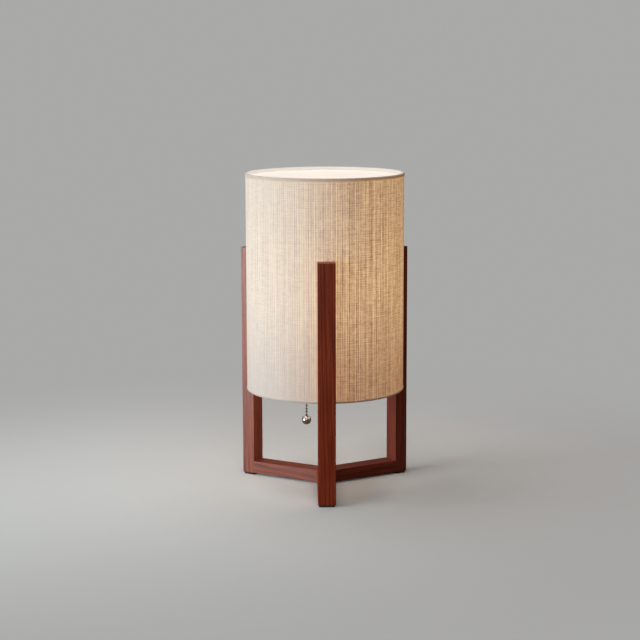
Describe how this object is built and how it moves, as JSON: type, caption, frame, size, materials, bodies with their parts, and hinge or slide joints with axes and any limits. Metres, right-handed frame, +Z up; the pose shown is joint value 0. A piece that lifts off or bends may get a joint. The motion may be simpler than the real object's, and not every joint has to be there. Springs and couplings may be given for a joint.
{
  "type": "table lantern",
  "caption": "Table lantern: a cloth drum shade held between square timber posts on a Y-shaped base, with a pull chain and ball.",
  "frame": {"origin": "on the table, under the shade's axis", "axes": "+Z up along the shade's axis; the front post stands towards -Y; +X to the right seen from the front"},
  "size_m": [0.23, 0.2333, 0.4285],
  "materials": {
    "walnut": "oiled walnut, reddish brown, satin",
    "dowel_wood": "pale hardwood, unfinished",
    "pad_rubber": "dark brown rubber, matt",
    "shade_cloth": "natural slubby woven cloth",
    "shade_sheet": "translucent white laminating sheet, matt",
    "edge_cloth": "turned cloth edge, slightly greyer",
    "bright_steel": "zinc-plated steel",
    "bracket_metal": "satin nickel-coloured paint",
    "yellow_brass": "plain brass",
    "moulding": "black thermoset moulding",
    "bushing_plastic": "black plastic",
    "chain_metal": "aged bronze-coloured bead chain",
    "ball_metal": "polished nickel",
    "opal_glass": "frosted warm-white glass, lit",
    "cap_metal": "nickel-plated cap",
    "stem_glass": "clear glass",
    "filament_yellow": "yellow phosphor sticks, lit",
    "circuit_board": "green board"
  },
  "bodies": {
    "lantern": {"front_post": "walnut", "right_post": "walnut", "left_post": "walnut", "front_rail": "walnut", "right_rail": "walnut", "left_rail": "walnut", "foot_pads": "pad_rubber", "post_dowels": "dowel_wood", "mitre_dowels": "dowel_wood", "shade_fabric": "shade_cloth", "shade_liner": "shade_sheet", "shade_seam": "shade_cloth", "top_ring": "bright_steel", "bottom_ring": "bright_steel", "top_trim": "edge_cloth", "bottom_trim": "edge_cloth", "arm_bracket": "bracket_metal", "arm_screws": "bright_steel", "post_spacers": "bushing_plastic", "post_inserts": "yellow_brass", "nipple": "bright_steel", "nipple_nuts": "bright_steel", "lock_washer": "bright_steel", "cord_bushing": "bushing_plastic", "lampholder_base": "moulding", "lampholder_shroud": "moulding", "lampholder_screws": "bright_steel", "screw_shell": "yellow_brass", "shell_rivets": "yellow_brass", "centre_contact": "yellow_brass", "centre_rivet": "yellow_brass", "terminal_plates": "yellow_brass", "terminal_screws": "bright_steel", "floor_rivets": "yellow_brass", "lever_pin": "bright_steel", "pin_bush": "bushing_plastic", "contact_blades": "yellow_brass", "return_spring": "bright_steel", "chain_eyelet": "yellow_brass"},
    "bulb": {"bulb_glass": "opal_glass", "bulb_cap": "cap_metal", "bulb_insulator": "moulding", "bulb_tip": "bright_steel", "filament_stem": "stem_glass", "filament_cage": "bright_steel", "filaments": "filament_yellow", "bulb_driver": "circuit_board"},
    "chain_top": {"chain_hanger": "chain_metal", "chain_upper_beads": "chain_metal", "chain_upper_links": "chain_metal"},
    "chain_joint": {"chain_knuckle": "chain_metal"},
    "chain_tail": {"chain_lower_beads": "chain_metal", "chain_lower_links": "chain_metal"},
    "chain_ball": {"pull_ball": "ball_metal"},
    "lever": {"switch_lever": "bright_steel"},
    "rotor": {"switch_rotor": "bushing_plastic"}
  },
  "joints": [
    {"name": "chain_pull", "type": "slide", "parent": "lantern", "child": "chain_top", "axis": [0, 0, -1], "range_m": [0, 0.008], "stiffness_N_per_m": 400, "springref_m": -0.003, "deforming": ["return_spring"]},
    {"name": "lever_turn", "type": "hinge", "parent": "lantern", "child": "lever", "pos_m": [-0.01256, -0.00725, 0.164], "axis": [0.5, -0.866, 0], "range_deg": [0, 29.31]},
    {"name": "rotor_turn", "type": "hinge", "parent": "lantern", "child": "rotor", "pos_m": [-0.01256, -0.00725, 0.164], "axis": [0.5, -0.866, 0], "continuous": true},
    {"name": "chain_swing_fore", "type": "hinge", "parent": "chain_top", "child": "chain_joint", "pos_m": [-0.02581, -0.0149, 0.13737], "axis": [1, 0, 0], "range_deg": [-25, 25]},
    {"name": "chain_swing_side", "type": "hinge", "parent": "chain_joint", "child": "chain_tail", "pos_m": [-0.02581, -0.0149, 0.13737], "axis": [0, 1, 0], "range_deg": [-25, 25]},
    {"name": "ball_spin", "type": "hinge", "parent": "chain_tail", "child": "chain_ball", "pos_m": [-0.02581, -0.0149, 0.09247], "axis": [0, 0, 1], "continuous": true},
    {"name": "bulb_lift", "type": "slide", "parent": "lantern", "child": "bulb", "axis": [0, 0, 1], "range_m": [0, 0.026]}
  ],
  "couplings": [
    {"joint": "lever_turn", "follows": "chain_pull", "rad_per_m": 63.929}
  ]
}
